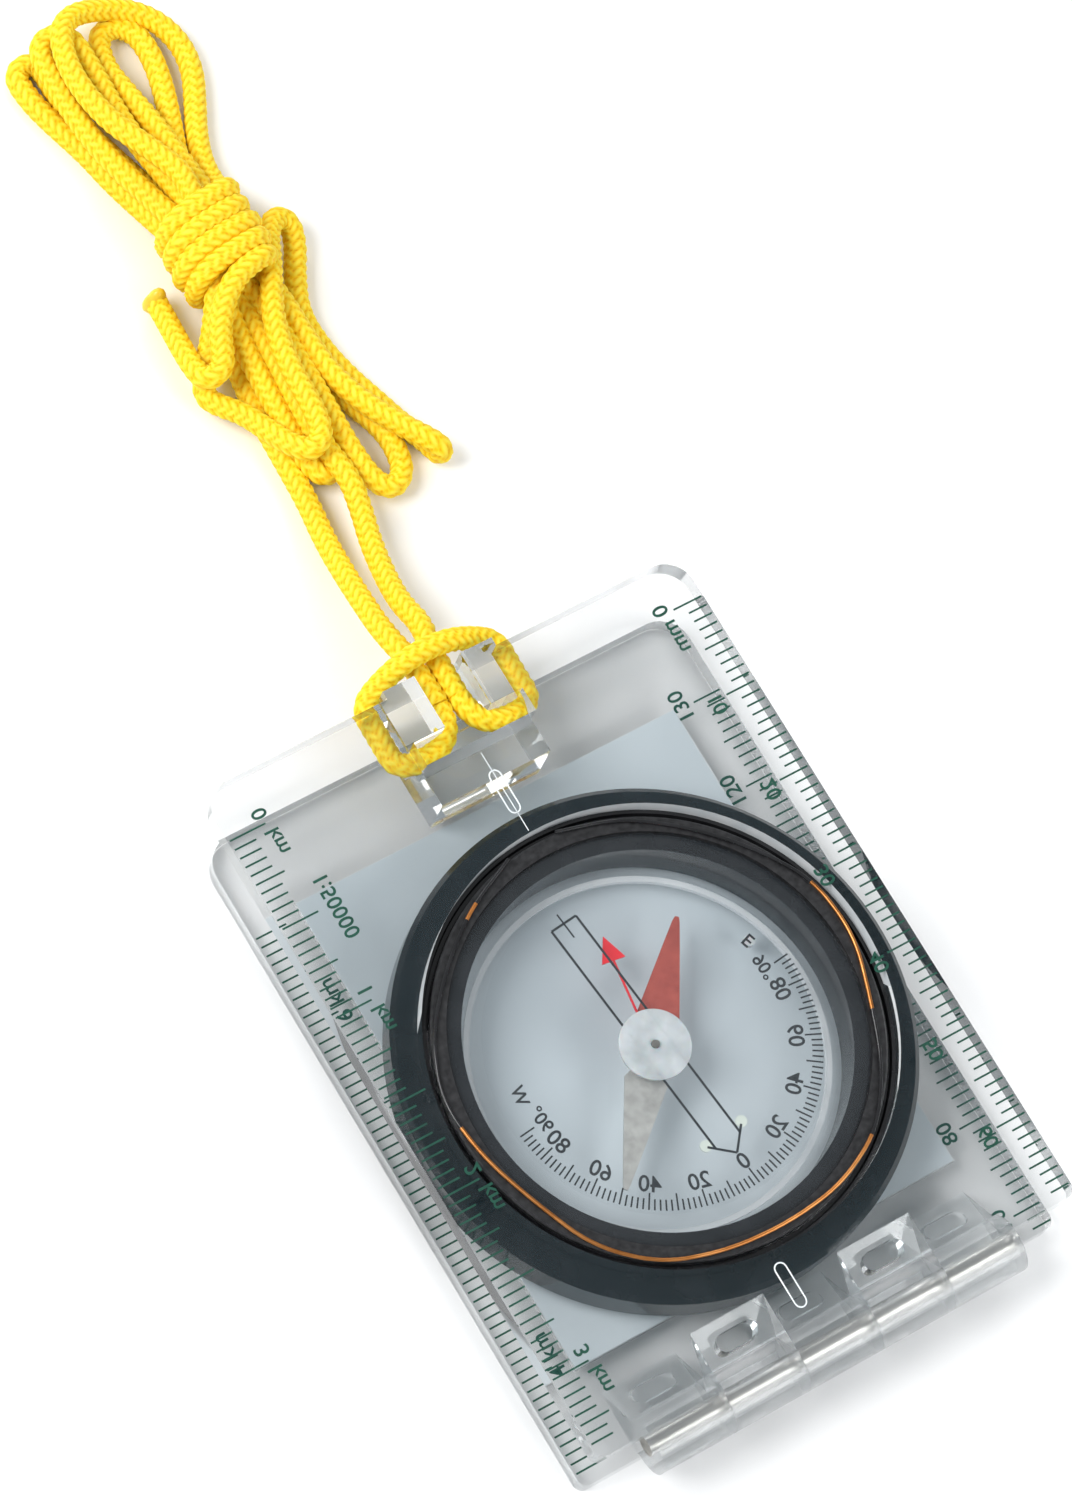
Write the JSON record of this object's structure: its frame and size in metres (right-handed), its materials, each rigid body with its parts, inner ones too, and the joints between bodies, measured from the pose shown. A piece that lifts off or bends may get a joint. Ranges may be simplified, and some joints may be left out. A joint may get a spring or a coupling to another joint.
{
  "type": "baseplate compass",
  "caption": "Folding clear baseplate compass with rotating bezel, liquid capsule, swinging needle and clinometer arrow, mirror lid and tied yellow lanyard.",
  "frame": {"origin": "centre of the closed compass's footprint, on the lid's outer face, lanyard left out", "axes": "+X across the leaves, +Y from the hinge towards the lanyard end, +Z from the lid up to the base plate's underside"},
  "size_m": [0.055, 0.1589, 0.0121],
  "materials": {
    "clear_acrylic": "polished clear acrylic",
    "mirror": "silvered",
    "steel": "drawn",
    "black_plastic": "fine matte",
    "copper": "drawn copper wire",
    "capsule": "polished clear",
    "white_plastic": "translucent white",
    "luminous": "luminous paint",
    "needle_paint": "one half red, one half grey",
    "brass": "turned",
    "jewel": "polished",
    "red_plastic": "smooth",
    "cord": "braided yellow cord",
    "cord_tip": "melted cord end"
  },
  "bodies": {
    "base": {"base_plate": "clear_acrylic", "cord_hitch": "cord", "cord_strand_left": "cord", "cord_strand_right": "cord", "cord_hank_upper": "cord", "cord_hank_lower": "cord", "cord_wrap": "cord", "cord_tail": "cord", "cord_tip": "cord_tip"},
    "lid": {"lid_plate": "clear_acrylic", "mirror": "mirror", "hinge_pin": "steel"},
    "dial": {"bezel_ring": "black_plastic", "clamp_ring": "black_plastic", "friction_wire": "copper", "capsule_base": "capsule", "capsule_window": "capsule", "capsule_seal": "white_plastic", "filler_plug": "white_plastic", "scale_disc": "capsule", "luminous_dots": "luminous", "pivot_boss": "white_plastic", "pivot_pin": "steel"},
    "needle": {"needle": "needle_paint", "needle_hub": "brass", "jewel_bearing": "jewel"},
    "clinometer": {"clinometer_arrow": "red_plastic"}
  },
  "joints": [
    {"name": "lid_hinge", "type": "hinge", "parent": "base", "child": "lid", "pos_m": [0, -0.0362, 0.0055], "axis": [-1, 0, 0], "range_deg": [0, 180]},
    {"name": "bezel_turn", "type": "hinge", "parent": "base", "child": "dial", "pos_m": [0, -0.0032, 0.006], "axis": [0, 0, 1], "continuous": true},
    {"name": "needle_swing", "type": "hinge", "parent": "dial", "child": "needle", "pos_m": [0, -0.0032, 0.006], "axis": [0, 0, 1], "continuous": true},
    {"name": "clinometer_swing", "type": "hinge", "parent": "dial", "child": "clinometer", "pos_m": [0, -0.0032, 0.0064], "axis": [0, 0, 1], "continuous": true}
  ]
}
